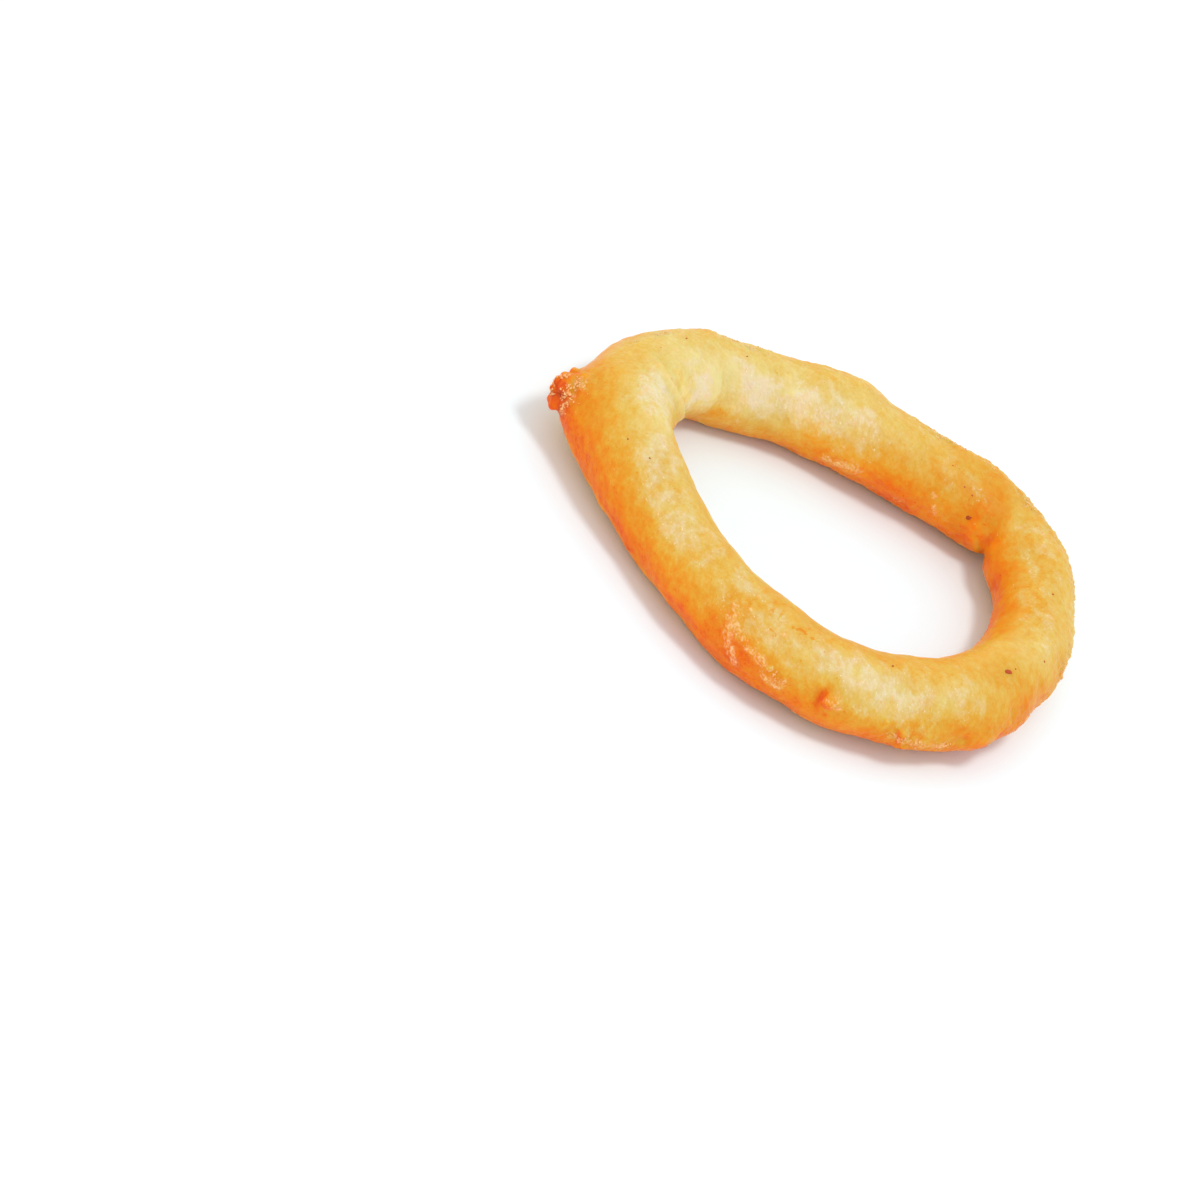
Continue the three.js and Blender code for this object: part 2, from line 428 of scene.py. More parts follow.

# %% [markdown]
# ## Browning, painted light and painted shade
#
# The batter's browning carries painted light and shade. Skin facing one way, up and a little to +X,
# is painted pale as if lit from there, and the flanks turned away from it are painted orange as
# painted shade. On top of that come patches: some are batter that caught more or less heat, and some
# are painted highlights on the swells and crowns or painted shade in the slack and creases. The sum,
# from about 0 for the palest batter to 1 for deep orange, is kept on the skin as an attribute of
# browning and painted shade. Flanks and creases are also painted brighter for their colour, a painted
# fill light kept in a second attribute that says by how much. The patches are placed on the skin as
# it was before the folds were raised.

# %% Browning, painted light and painted shade
# painted light: skin facing this way is painted palest, as if lit from this side, and skin turned away
# is painted orange as painted shade
PAINTED_LIGHT_WAY = Vector((0.43, -0.08, 0.90))  # the palest batter faces this way
PAINTED_SHADE_BY_LEAN = (
    [-1.00, -0.75, -0.50, -0.30, 0.10, 0.30, 0.50, 0.70, 1.00],
    [0.60, 0.74, 0.89, 0.84, 0.67, 0.59, 0.48, 0.41, 0.30],
)
# painted fill light by facing: skin turned away from the painted light is made brighter for its colour
PAINTED_FILL_BY_LEAN = ([-1.0, -0.6, -0.4, 0.0, 0.3, 0.6, 1.0], [1.46, 1.38, 1.30, 1.26, 1.18, 1.10, 0.99])
# the patches are partly browning and partly painted light: pale ones on the swells, crowns and
# shoulder are painted highlights, browner ones in the slack, the creases and beside the largest
# blister are painted shade
PATCHES = [  # path of (turn, side), spread in mm, how much browner (or paler, below 0)
    # the pointed end: a deep orange knob, a pale shoulder painted as a highlight
    ([(188, 20)], 5, 0.12),
    ([(191, 5)], 4, 0.24),
    ([(194, 12)], 4, 0.06),
    ([(182, 120), (187, 113), (194, 108, 0.8)], 4, -0.22),
    ([(197, 84), (205, 90)], 5, -0.02),
    ([(199, 8)], 5, 0.08),
    ([(184, 30), (180, 50)], 4, 0.08),
    ([(179, 96)], 3.5, 0.08),
    ([(176, 48), (160, 48)], 5, -0.16),
    ([(168, 104)], 4, -0.18),
    ([(166, 78)], 3.5, 0.06),
    # the +Y side: pale swells painted as highlights, with gold painted as shade between them, deep
    # orange towards the hole
    ([(167, 165), (161, 140, 0.8)], 4.2, -0.38),
    ([(170, 140)], 2.0, -0.10),
    ([(150, 130), (150, 158)], 4.5, -0.14),
    ([(153, 132, 0.5), (153, 153), (154, 188, 1.6)], 1.5, 0.10),
    ([(135, 104, 0.8), (136.7, 130, 0.8), (137.5, 147, 0.9), (128, 163, 0.1)], 1.3, 0.18),
    ([(131, 152)], 3, -0.07),
    ([(123, 98), (118, 104)], 3.5, 0.06),
    ([(142.2, 128)], 1.6, -0.07),
    ([(150, 106), (138, 88)], 5, -0.05),
    ([(176, 148)], 2.0, -0.08),
    ([(150, 185)], 6, -0.22),
    ([(141, 140)], 4, -0.08),
    ([(132, 138), (127, 146)], 5, -0.27),
    ([(122, 190)], 4, -0.05),
    ([(114, 100)], 4, -0.10),
    ([(116, 168)], 4, 0.06),
    ([(104, 155)], 6, -0.08),
    ([(108, 134)], 4, -0.09),
    ([(86, 118)], 5, -0.04),
    ([(67, 84), (54, 100)], 4, 0.07),
    ([(83, 114)], 3.5, -0.05),
    ([(74, 172)], 9, 0.12),
    ([(56, 105)], 9, 0.13),
    ([(51.5, 137)], 3.4, 0.15),
    ([(44.5, 135)], 4, -0.04),
    ([(57, 156)], 3, -0.06),
    ([(62, 188)], 5, -0.12),
    # the blunt end
    ([(27, 96), (16, 100)], 7, 0.09),
    ([(34, 172)], 4, 0.05),
    ([(32, 136)], 4, -0.05),
    ([(44, 178)], 3, -0.06),
    ([(350, 128)], 4.5, -0.06),
    ([(3, 84)], 4.5, -0.07),
    ([(343, 84)], 4, 0.14),
    ([(355, 12), (4, 22)], 4, 0.14),
    # the -Y side: pale crown painted as a highlight, orange blotch, browned lower rim
    ([(202, 58)], 4.5, -0.09),
    ([(231, 26)], 3.5, -0.09),
    ([(258, 34)], 3.5, 0.05),
    ([(218, 42), (227, 52), (238, 48, 0.6)], 5, -0.10),
    ([(262, 95)], 4, 0.06),
    ([(275, 62)], 3, -0.06),
    ([(281, 40)], 3.5, 0.06),
    ([(240, 104)], 3, 0.10),
    ([(226, 8)], 5, 0.10),
    ([(210, 2)], 6, 0.05),
    ([(219, 28)], 5, 0.06),
    ([(241, 345)], 4, 0.06),
    ([(240, 60)], 5, 0.05),
    ([(256, 36)], 3, 0.09),
    ([(252, 12)], 4, -0.08),
    ([(255, 345)], 5, 0.14),
    ([(272, 46)], 4.5, -0.06),
    ([(262, 52)], 4, 0.10),
    ([(268, 10)], 4, 0.18),
    ([(270, 80)], 5, 0.06),
    ([(286, 96)], 5, 0.14),
    ([(302, 98)], 5, 0.13),
    ([(305, 103), (332, 96, 0.6)], 4, 0.09),
    ([(300, 72)], 5, -0.11),
    ([(285, 54)], 4.5, -0.09),
    ([(294, 38)], 3, 0.03),
    ([(308, 16)], 3.5, -0.02),
    ([(296, 48)], 3, -0.07),
    ([(322, 78), (328, 84)], 3, 0.07),
    ([(329, 36)], 3, 0.09),
    ([(340, 52)], 3.5, -0.05),
    ([(300, 20)], 4, 0.06),
    ([(302, 46), (311, 40)], 4.5, -0.15),
    ([(324, 50)], 5, -0.15),
    ([(322, 52)], 2.4, -0.07),
    ([(292, 0), (304, 2)], 6, 0.06),
    ([(318, 345)], 5, -0.16),
    ([(317, 5, 1.3), (331, 8, 0.75), (347, 12, 1.35)], 5.5, 0.26),
    # painted shade: the side of the largest blister away from the light, painted deep orange
    ([(292.0, 354, 0.5), (291.1, 0), (290.8, 9), (291.0, 18, 0.8), (292.4, 28, 0.5)], 0.7, 0.36),
    ([(294.2, 351)], 0.45, 0.25),
]
PAINTED_FILL_PATCHES = [  # path, spread in mm, how much brighter: painted fill light in creases and on thin rims that lie in shade
    ([(47.6, 196), (48.3, 182), (49.5, 165, 0.6), (50.5, 150, 0)], 1.5, 0.3),
    ([(42, 166), (43.5, 178)], 1.0, 0.2),
    ([(164, 150, 0.5), (163, 172), (154, 186)], 3.4, 0.10),
    ([(169, 165), (171.4, 145), (172.5, 125, 0.6)], 1.2, 0.12),
    ([(120, 174), (95, 184), (75, 187), (62, 190)], 4, 0.11),
]


# browning, with painted light and shade by facing, and a painted fill light on flanks and creases
def map_browning(mesh):
    points, normals = smooth_points, smooth_normals
    lean = normals_of(mesh) @ np.array(PAINTED_LIGHT_WAY.normalized())
    browning = np.interp(lean, *PAINTED_SHADE_BY_LEAN)
    for path, spread, amount in PATCHES:
        browning += amount * nearness(points, path, spread * MM)
    for turn, side, radius, _, browner in BLISTERS:
        browning += browner * np.minimum(2 * dome(points, (turn, side), radius * MM), 1)
    for path, (_, edge, back, painted_lighter) in LEDGES:
        browning -= painted_lighter * ledge(points, normals, path, edge * MM, back * MM)
    glow = np.interp(lean, *PAINTED_FILL_BY_LEAN)
    for path, spread, amount in PAINTED_FILL_PATCHES:
        glow += amount * nearness(points, path, spread * MM)
    store(mesh, "browning", browning)
    store(mesh, "glow", glow)
    return browning


browning = map_browning(crust.data)
print("browning from", round(browning.min(), 2), "to", round(browning.max(), 2))

# %% [markdown]
# ## Where the crust is rough, toasted, laced or crumbed, and where highlights are painted
#
# Five more attributes guide the finish. "ragged" marks rims where the batter dripped and tore, one
# marks where the lamp's highlight is painted on the crown as pale islands and glints, "toasted" marks
# thin smears where flour browned first, one marks threads of thin batter that ran down the flank and
# set pale, along with a few spots of painted glints, and "crumbed" says how thick loose crumbs lie
# there.

# %% Rough, toasted, laced and crumbed skin, and painted highlights
RAGGED = [  # path, spread in mm, strength
    ([(85, 50), (60, 46), (35, 35), (12, 14), (352, 351)], 3, 1.0),
    ([(345, 8), (330, 352), (308, 350)], 3, 1.0),
    ([(285, 350), (262, 350)], 3, 0.5),
    ([(190, 5)], 5, 0.35),
    ([(172, 50), (150, 55), (125, 56), (105, 54)], 3, 0.5),
    ([(115, 195), (95, 185), (66, 185), (50, 195)], 2.5, 0.7),
    ([(30, 190), (10, 180), (350, 170)], 2.5, 0.5),
    ([(225, 270), (300, 270), (30, 270), (120, 270)], 6, 0.5),
]
# painted highlights: where the lamp's highlight is painted pale and creamy on the crown, swells and
# shoulder
PAINTED_HIGHLIGHTS = [
    ([(164, 140), (163, 152), (162, 168)], 3.2, 1.0),
    ([(184, 118), (191, 108)], 4, 1.0),
    ([(147, 131), (141, 140)], 3.8, 1.0),
    ([(129, 130), (116, 142), (103, 133)], 4.8, 1.0),
    ([(92, 140)], 4, 0.8),
    ([(68, 115), (57, 132)], 4, 0.6),
    ([(42, 98), (18, 104), (7, 70)], 5, 0.7),
    ([(204, 84), (215, 66), (227, 58), (237, 68)], 4.8, 0.9),
    ([(254, 76), (262, 84)], 3.2, 1.0),
    ([(259, 46, 0.8), (270, 46), (276, 56)], 4, 1.0),
    ([(268, 68), (280, 66)], 4, 0.9),
    ([(288, 64), (302, 53), (316, 45)], 4.8, 1.0),
    ([(327, 63)], 5, 0.85),
    ([(295, 12)], 1.4, 0.9),
]
TOASTED = [
    ([(268.6, 81.5), (269.4, 80.2)], 0.36, 1.0),
    ([(272.3, 86), (271.9, 80), (271.9, 74)], 0.22, 0.8),
    ([(271.4, 56), (272.1, 55.3)], 0.3, 1.0),
    ([(273.5, 52.4)], 0.3, 0.9),
    ([(271, 50)], 0.24, 0.8),
    ([(276.4, 74), (278.7, 77.2), (280.2, 77.5)], 0.28, 1.0),
    ([(279.6, 72), (281.2, 80), (281.0, 90)], 0.24, 0.8),
    ([(282.6, 77), (284.8, 76.5)], 0.28, 0.8),
    ([(284.2, 64), (284.5, 63)], 0.3, 0.8),
    ([(262, 70), (263, 66)], 0.3, 0.7),
    ([(251, 62)], 0.4, 0.6),
]
LACE_AND_GLINTS = [
    ([(259.4, 51, 0.6), (261.2, 39, 0.8), (262, 33), (263.8, 30), (266.7, 24.5, 0.8)], 0.8, 1.0),
    ([(262, 33), (262, 23), (264.2, 13, 0.9), (265, 5), (267.6, 357), (268.4, 351.5)], 0.9, 1.0),
    ([(258.8, 33, 0.7), (261.3, 29)], 0.4, 0.9),
    ([(269.9, 21), (272.1, 20.3), (273.7, 18.7), (274.8, 16.3)], 0.8, 1.0),
    ([(276.7, 15)], 0.6, 1.0),
    ([(276, 3, 0.8), (277.3, 358, 0.9), (279.2, 356), (281.3, 359.4), (281.7, 7, 0.8)], 0.8, 1.0),
    # painted glints: small pale spots where the lamp's glint is painted
    ([(263.7, 59)], 0.45, 1.0),
    ([(263, 83)], 0.4, 1.0),
    ([(275.5, 59)], 0.6, 1.0),
    ([(255, 49)], 0.35, 0.9),
    ([(109, 197), (102, 192), (95, 185), (98, 178, 0.7)], 1.0, 0.9),
    ([(64.2, 161)], 0.6, 0.9),
    ([(62, 175), (60.5, 186)], 0.4, 0.9),
    # painted glints on the lit half of the largest blister
    ([(294.8, 25), (295.7, 18), (296.2, 8)], 0.7, 0.6),
    ([(294.0, 13)], 1.3, 0.55),
    ([(311, 353), (317, 352), (325, 348)], 0.9, 0.6),
    ([(192.3, 12)], 1.0, 0.8),
    ([(189.6, 27)], 1.3, 0.9),
    ([(193.4, 357)], 0.8, 0.7),
]
CRUMBED = [
    ([(192.6, 5), (192.2, 12), (191.6, 17)], 1.0, 1.0),
    ([(189.6, 26)], 1.2, 1.0),
    ([(190.2, 356), (188.8, 6), (188.6, 18)], 0.7, 0.9),
    ([(193.4, 358)], 0.8, 0.9),
    ([(191.5, 32.4)], 0.5, 0.9),
    ([(311, 352), (317, 351), (326, 347)], 1.3, 0.6),
    ([(334, 2)], 1.5, 0.5),
    ([(108, 197), (102, 191), (94, 184)], 1.0, 0.55),
    ([(276.7, 15), (281.7, 7, 0.8), (279.2, 356, 0.8)], 0.7, 0.6),
    ([(295.2, 19), (296.0, 9)], 0.7, 0.7),
    ([(85, 50), (60, 46), (35, 35), (12, 14), (352, 351), (340, 350)], 2.6, 0.5),
    ([(172, 52), (150, 57), (125, 58)], 2.2, 0.42),
    ([(225, 270), (300, 270), (30, 270), (120, 270)], 5.0, 0.3),
]


def map_finish(mesh):
    kinds = (
        ("ragged", RAGGED, 0.06),
        ("puffed", PAINTED_HIGHLIGHTS, 0.15),
        ("toasted", TOASTED, 0.0),
        ("laced", LACE_AND_GLINTS, 0.0),
        ("crumbed", CRUMBED, 0.0),
    )
    for name, spots, least in kinds:
        values = np.full(len(smooth_points), least)
        for path, spread, strength in spots:
            values = np.maximum(values, strength * nearness(smooth_points, path, spread * MM))
        store(mesh, name, values)
        print(name, "covers", round(100 * (values > 0.5).mean(), 1), "% of the skin")


map_finish(crust.data)

# %% [markdown]
# ## Short ways to build node trees
#
# Both the relief and the colours are made with nodes, so a small class adds, feeds and joins them.

# %% Node helpers


class Tree:
    """Short ways to build a node tree."""

    def __init__(self, tree):
        self.tree = tree

    def add(self, kind, settings=None, **inputs):
        node = self.tree.nodes.new(kind)
        for name, value in (settings or {}).items():
            setattr(node, name, value)
        for name, value in inputs.items():
            self.feed(node.inputs[name.replace("_", " ")], value)
        return node

    def feed(self, socket, value):
        if isinstance(value, bpy.types.NodeSocket):
            self.tree.links.new(value, socket)
        else:
            socket.default_value = value

    def math(self, operation, *values):
        node = self.tree.nodes.new("ShaderNodeMath")
        node.operation = operation
        for socket, value in zip(node.inputs, values):
            self.feed(socket, value)
        return node.outputs[0]

    def vector(self, operation, *values):
        node = self.tree.nodes.new("ShaderNodeVectorMath")
        node.operation = operation
        for socket, value in zip(node.inputs, values):
            self.feed(socket, value)
        return node.outputs[0]

    def scaled(self, vector, amount):
        node = self.add("ShaderNodeVectorMath", {"operation": "SCALE"}, Vector=vector, Scale=amount)
        return node.outputs[0]

    def step(self, value, start, end):
        """0 up to start, 1 from end on, and smooth between; start may be above end."""
        node = self.tree.nodes.new("ShaderNodeMapRange")
        node.interpolation_type = "SMOOTHSTEP"
        for name, given in (("Value", value), ("From Min", start), ("From Max", end)):
            self.feed(node.inputs[name], given)
        return node.outputs[0]

    def wave(self, where, size, height, detail=1.0):
        """Smooth noise with features of that size, from about -height to height."""
        spot = self.scaled(where, self.math("DIVIDE", 1, size))
        noise = self.add("ShaderNodeTexNoise", Vector=spot, Scale=1.0, Detail=detail)
        centred = self.math("SUBTRACT", noise.outputs[0], 0.5)
        return self.math("MULTIPLY", self.math("MULTIPLY", centred, 2), height)

    def drawn_out(self, where, way, times):
        """The same places, but patterns on them come out that many times longer along the way."""
        dot = self.add("ShaderNodeVectorMath", {"operation": "DOT_PRODUCT"})
        self.feed(dot.inputs[0], where)
        self.feed(dot.inputs[1], way)
        back = self.math("MULTIPLY", dot.outputs["Value"], 1 / times - 1)
        return self.vector("ADD", where, self.scaled(way, back))

    def dots(self, where, cell, radius, share):
        """1 inside scattered dots, one in each cell of a share of the cells."""
        spot = self.scaled(where, 1 / cell)
        cells = self.add("ShaderNodeTexVoronoi", Vector=spot, Scale=1.0)
        inside = self.step(cells.outputs["Distance"], radius / cell, 0.5 * radius / cell)
        draw = self.add("ShaderNodeSeparateColor", Color=cells.outputs["Color"]).outputs[0]
        return self.math("MULTIPLY", inside, self.math("LESS_THAN", draw, share))


def new_material(name):
    """A material, short ways to build its nodes, and its shader."""
    material = bpy.data.materials.new(name)
    material.use_nodes = True
    return material, Tree(material.node_tree), material.node_tree.nodes["Principled BSDF"]


print("ways to build a tree:", [way for way in vars(Tree) if not way.startswith("_")])

# %% [markdown]
# A Geometry Nodes tree takes in a piece, its material and named numbers. At its end the instances
# become real mesh and the material is set. The finished piece is plain mesh without modifiers.

# %% Geometry tree helpers
LOWEST = (-1, -1, 0)  # no point goes under z = 0, where the ring rests


def geometry_tree(name, numbers):
    """A Geometry Nodes tree with a geometry, a material and named numbers going in."""
    tree = bpy.data.node_groups.new(name, "GeometryNodeTree")
    tree.interface.new_socket("Geometry", in_out="INPUT", socket_type="NodeSocketGeometry")
    tree.interface.new_socket("Geometry", in_out="OUTPUT", socket_type="NodeSocketGeometry")
    tree.interface.new_socket("Material", in_out="INPUT", socket_type="NodeSocketMaterial")
    for label, value in numbers.items():
        socket = tree.interface.new_socket(label, in_out="INPUT", socket_type="NodeSocketFloat")
        socket.default_value = value
    make = Tree(tree)
    return make, make.add("NodeGroupInput"), make.add("NodeGroupOutput")


def named(make, attribute_name):
    return make.add("GeometryNodeInputNamedAttribute", Name=attribute_name).outputs[0]


def pushed_out(make, geometry, amount):
    """The geometry with its points moved along their normals, and none of them under the floor."""
    where = make.add("GeometryNodeInputPosition").outputs[0]
    normal = make.add("GeometryNodeInputNormal").outputs[0]
    moved = make.vector("ADD", where, make.scaled(normal, amount))
    above = make.vector("MAXIMUM", moved, LOWEST)
    return make.add("GeometryNodeSetPosition", Geometry=geometry, Position=above).outputs[0]


def finish_tree(make, given, result, geometry):
    whole = make.add("GeometryNodeRealizeInstances", Geometry=geometry)
    material = given.outputs["Material"]
    done = make.add("GeometryNodeSetMaterial", Geometry=whole.outputs[0], Material=material)
    make.feed(result.inputs[0], done.outputs[0])


def run_tree(piece, make, material, numbers):
    """Runs the tree on the piece with these numbers and keeps the result as plain mesh."""
    modifier = piece.modifiers.new(make.tree.name, "NODES")
    modifier.node_group = make.tree
    for item in make.tree.interface.items_tree:
        if item.in_out == "INPUT" and item.name in numbers:
            modifier[item.identifier] = numbers[item.name]
        if item.in_out == "INPUT" and item.name == "Material":
            modifier[item.identifier] = material
    return settled(piece)


def dress(piece):
    """Smooth shading, and the body that the piece belongs to."""
    for face in piece.data.polygons:
        face.use_smooth = True
    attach(piece, BODY)
    print(piece.name + ":", len(piece.data.polygons), "faces")


# %% [markdown]
# ## Fried batter
#
# Batter is a little translucent and oily. Its colour runs from pale cream through gold to orange as
# it browns, unevenly at every scale. The lamp's highlight is painted on it as cream islands with
# flecks and glints, and it has smears of toasted flour, a pale film where a thin run of batter set,
# with a few painted glints in the film, and brown dots of burnt flour. Noise makes these patterns,
# drawn out a little along the way that the wet batter ran, and the attributes on the skin say where
# each one shows.

# %% Colours and patterns of the batter
BATTER_STOPS = [  # browning, colour
    (-0.35, (0.718, 0.640, 0.400)),
    (-0.05, (0.692, 0.592, 0.310)),
    (0.08, (0.668, 0.548, 0.250)),
    (0.22, (0.648, 0.482, 0.168)),
    (0.38, (0.634, 0.400, 0.085)),
    (0.54, (0.636, 0.317, 0.034)),
    (0.70, (0.646, 0.234, 0.011)),
    (0.86, (0.655, 0.152, 0.005)),
    (1.00, (0.620, 0.085, 0.004)),
    (1.35, (0.32, 0.022, 0.003)),
]
FIRST_STOP, LAST_STOP = BATTER_STOPS[0][0], BATTER_STOPS[-1][0]
# pale film of thin batter, also used for the few painted glints
FILM_AND_GLINT_LIGHT = (0.78, 0.57, 0.30)
FILM_AND_GLINT_DARK = (0.72, 0.43, 0.15)
# cream of the small glints painted in the highlight
PAINTED_GLINT_CREAM = (0.84, 0.76, 0.58)
BURNT_BROWN = (0.62, 0.18, 0.03)
MOTTLE = ((9.0, 0.12), (2.6, 0.14), (1.0, 0.17), (0.4, 0.13))  # size in mm, how much browner or paler
MOTTLE_DETAIL = 2.0
RUN_WAY = (-0.56, 0.53, 0.64)  # the batter ran this way while the ring hung from the fork
RUN_STRETCH = 1.3  # how many times longer the patterns are that way
PATTERNS = {  # size in mm, height and detail of the noise; from where it starts to show, to fully
    # islands, flecks, specks and flakes paint the lamp's highlight and its glints
    "islands": (2.4, 1.1, 4.0, 0.3, 0.95),
    "flecks": (0.9, 1.0, 3.0, -0.3, 0.35),
    "specks": (0.32, 1.0, 1.0, 0.22, 0.5),
    "smears": (0.45, 1.4, 2.0, 0.4, 0.85),
    "streaks": (0.7, 1.5, 3.0, 0.0, 1.35),
    "shade": (0.35, 1.0, 2.0, -0.3, 0.35),
    "flakes": (0.30, 1.0, 2.0, 0.26, 0.54),
}
print(len(BATTER_STOPS), "colours from pale to burnt,", len(PATTERNS), "patterns")

# %% Mixing the batter's colour


def attribute(make, name):
    return make.add("ShaderNodeAttribute", {"attribute_name": name}).outputs["Fac"]


def mixed(make, share, first, second):
    """The first colour where the share is 0, the second where it is 1."""
    mix = make.add("ShaderNodeMix", {"data_type": "RGBA"})
    make.feed(mix.inputs["Factor"], share)
    make.feed(mix.inputs[6], first)
    make.feed(mix.inputs[7], second)
    return mix.outputs[2]


def weighted(make, *parts):
    """Sum of the values, each times its weight; rows of (weight, value)."""
    total = 0.0
    for weight, value in parts:
        total = make.math("MULTIPLY_ADD", value, weight, total)
    return total


def patterned(make, where, name, *guides):
    """0 to 1 over that pattern; guides are rows of (weight, value) that call it up."""
    size, height, detail, start, full = PATTERNS[name]
    noise = make.wave(where, size * MM, height, detail=detail)
    if guides:
        noise = weighted(make, *guides, (1, noise))
    return make.step(noise, start, full)


def batter_colour(make, shaded_browning, cream_and_highlight, where):
    """Colour of batter with this much browning and painted shade, mottled; a cream factor below 1
    makes it more golden, above 1 paints it toward highlight cream.
    """
    for size, amount in MOTTLE:
        shaded_browning = make.math("ADD", shaded_browning, make.wave(where, size * MM, amount, MOTTLE_DETAIL))
    share = make.math("DIVIDE", make.math("SUBTRACT", shaded_browning, FIRST_STOP), LAST_STOP - FIRST_STOP)
    ramp = make.add("ShaderNodeValToRGB", Fac=share)
    stops = ramp.color_ramp.elements
    while len(stops) < len(BATTER_STOPS):
        stops.new(0.5)
    for stop, (at, colour) in zip(stops, BATTER_STOPS):
        stop.position = (at - FIRST_STOP) / (LAST_STOP - FIRST_STOP)
        stop.color = (*colour, 1)
    tint = make.add("ShaderNodeCombineXYZ", X=1.0, Y=1.0, Z=cream_and_highlight).outputs[0]
    return make.vector("MULTIPLY", ramp.outputs["Color"], tint)


# %% [markdown]
# Light spreads under the skin, more so the red of it, and with the painted fill light this is why the
# shaded flanks glow orange. A fine grain breaks the lamp's reflection into glints.

# %% The skin of the batter
ROUGHNESS = 0.36
ROUGHNESS_WAVE = (1.8, 0.16)  # size in mm, how much rougher or smoother
GLOSS = 0.12
LIGHT_INSIDE = 0.8  # share of the light that enters the batter
LIGHT_REACH = (1.0, 0.20, 0.07)  # how far its red, green and blue get, as shares of the spread
LIGHT_SPREAD = 4 * MM
GRAIN = ((0.45, 0.6, 2.0), (1.1, 0.4, 1.0))  # size in mm, height and detail: fine grain and pebbles
GRAIN_STRENGTH = 0.8
GRAIN_DEPTH = 0.2 * MM


def batter_skin(shader, make, where, colour, grain, spread):
    """Sets a shader to oily batter of that colour, with that much grain; light goes that far in it."""
    make.feed(shader.inputs["Base Color"], colour)
    size, change = ROUGHNESS_WAVE
    sheen = make.math("ADD", ROUGHNESS, make.wave(where, size * MM, change, detail=2.0))
    make.feed(shader.inputs["Roughness"], sheen)
    shader.inputs["Subsurface Weight"].default_value = LIGHT_INSIDE if spread else 0.0
    shader.inputs["Subsurface Radius"].default_value = LIGHT_REACH
    shader.inputs["Subsurface Scale"].default_value = spread
    shader.inputs["Specular IOR Level"].default_value = GLOSS
    fine, pebble = [make.wave(where, size * MM, high, detail) for size, high, detail in GRAIN]
    height = make.math("MULTIPLY", make.math("ADD", fine, pebble), grain)
    bump = make.add("ShaderNodeBump", Height=height, Strength=GRAIN_STRENGTH, Distance=GRAIN_DEPTH)
    make.feed(shader.inputs["Normal"], bump.outputs["Normal"])


print("light spreads up to", round(LIGHT_SPREAD / MM, 1), "mm in the batter")

# %% The crust's material
HIGHLIGHT_PULL = 0.85  # how strongly the painted highlight calls up pale islands, and lace with painted glints calls up streaks
LACE_AND_GLINT_PULL = 0.85
ISLAND_PALER = (0.09, 0.10, 0.12)  # a painted highlight island, and the flecks and glint specks painted in it
ISLAND_CREAMIER = (0.24, 0.16, 0.12)
GOLDEN = 0.85  # creaminess of batter outside the islands
SMEAR_BROWNER = 0.26
FILM_AND_GLINT_EDGE = (0.05, 0.45)  # lace and glint skin below the first has no film, above the second has all of it
FILM_AND_GLINT_COVER = (0.40, 0.35)  # everywhere on the film, and more in its light parts
# how much of a highlight island the painted glints cover
PAINTED_GLINT_COVER = 0.75
BURNT_DOTS = (3.4 * MM, 0.2 * MM, 0.22)  # size of a cell, radius of its dot, share of cells with one
BURNT_COVER = 0.8
GRAIN_EVERYWHERE, GRAIN_ON_ISLANDS = 0.55, 0.6


def crust_material():
    material, make, shader = new_material("fried_batter")
    where = make.drawn_out(make.add("ShaderNodeTexCoord").outputs["Object"], RUN_WAY, RUN_STRETCH)
    # pale cream islands, a painted highlight, show where the painted highlight attribute is high
    islands = patterned(make, where, "islands", (HIGHLIGHT_PULL, attribute(make, "puffed")))
    inside = (1, patterned(make, where, "flecks"), patterned(make, where, "specks"))
    painted_lighter = make.math("MULTIPLY", islands, weighted(make, *zip(ISLAND_PALER, inside)))
    cream_and_highlight = make.math("MULTIPLY", islands, weighted(make, *zip(ISLAND_CREAMIER, inside)))
    cream_and_highlight = weighted(make, (GOLDEN, 1), (1, cream_and_highlight))
    smears = patterned(make, where, "smears", (1, attribute(make, "toasted")))
    smears = make.math("MULTIPLY", smears, SMEAR_BROWNER)
    shaded_browning = make.math("ADD", make.math("SUBTRACT", attribute(make, "browning"), painted_lighter), smears)
    colour = batter_colour(make, shaded_browning, cream_and_highlight, where)
    laced = attribute(make, "laced")
    film_and_glints = patterned(make, where, "streaks", (LACE_AND_GLINT_PULL, laced))
    film_and_glints = make.math("MULTIPLY", film_and_glints, make.step(laced, *FILM_AND_GLINT_EDGE))
    shade = patterned(make, where, "shade")
    film_and_glint_colour = mixed(make, shade, (*FILM_AND_GLINT_DARK, 1), (*FILM_AND_GLINT_LIGHT, 1))
    film_and_glints = make.math("MULTIPLY", film_and_glints, weighted(make, *zip(FILM_AND_GLINT_COVER, (1, shade))))
    colour = mixed(make, film_and_glints, colour, film_and_glint_colour)
    # painted glints: small cream spots inside the painted highlight
    flakes = make.math("MULTIPLY", islands, PAINTED_GLINT_COVER)
    flakes = make.math("MULTIPLY", patterned(make, where, "flakes"), flakes)
    colour = mixed(make, flakes, colour, (*PAINTED_GLINT_CREAM, 1))
    # painted fill light: the colour is brightened on flanks and creases, where shade falls
    colour = make.scaled(colour, attribute(make, "glow"))
    burnt = make.math("MULTIPLY", make.dots(where, *BURNT_DOTS), BURNT_COVER)
    colour = mixed(make, burnt, colour, (*BURNT_BROWN, 1))
    grain = make.math("ADD", GRAIN_EVERYWHERE, make.math("MULTIPLY", islands, GRAIN_ON_ISLANDS))
    batter_skin(shader, make, where, colour, grain, LIGHT_SPREAD)
    return material


fried_batter = crust_material()
print("nodes in the batter:", len(fried_batter.node_tree.nodes))

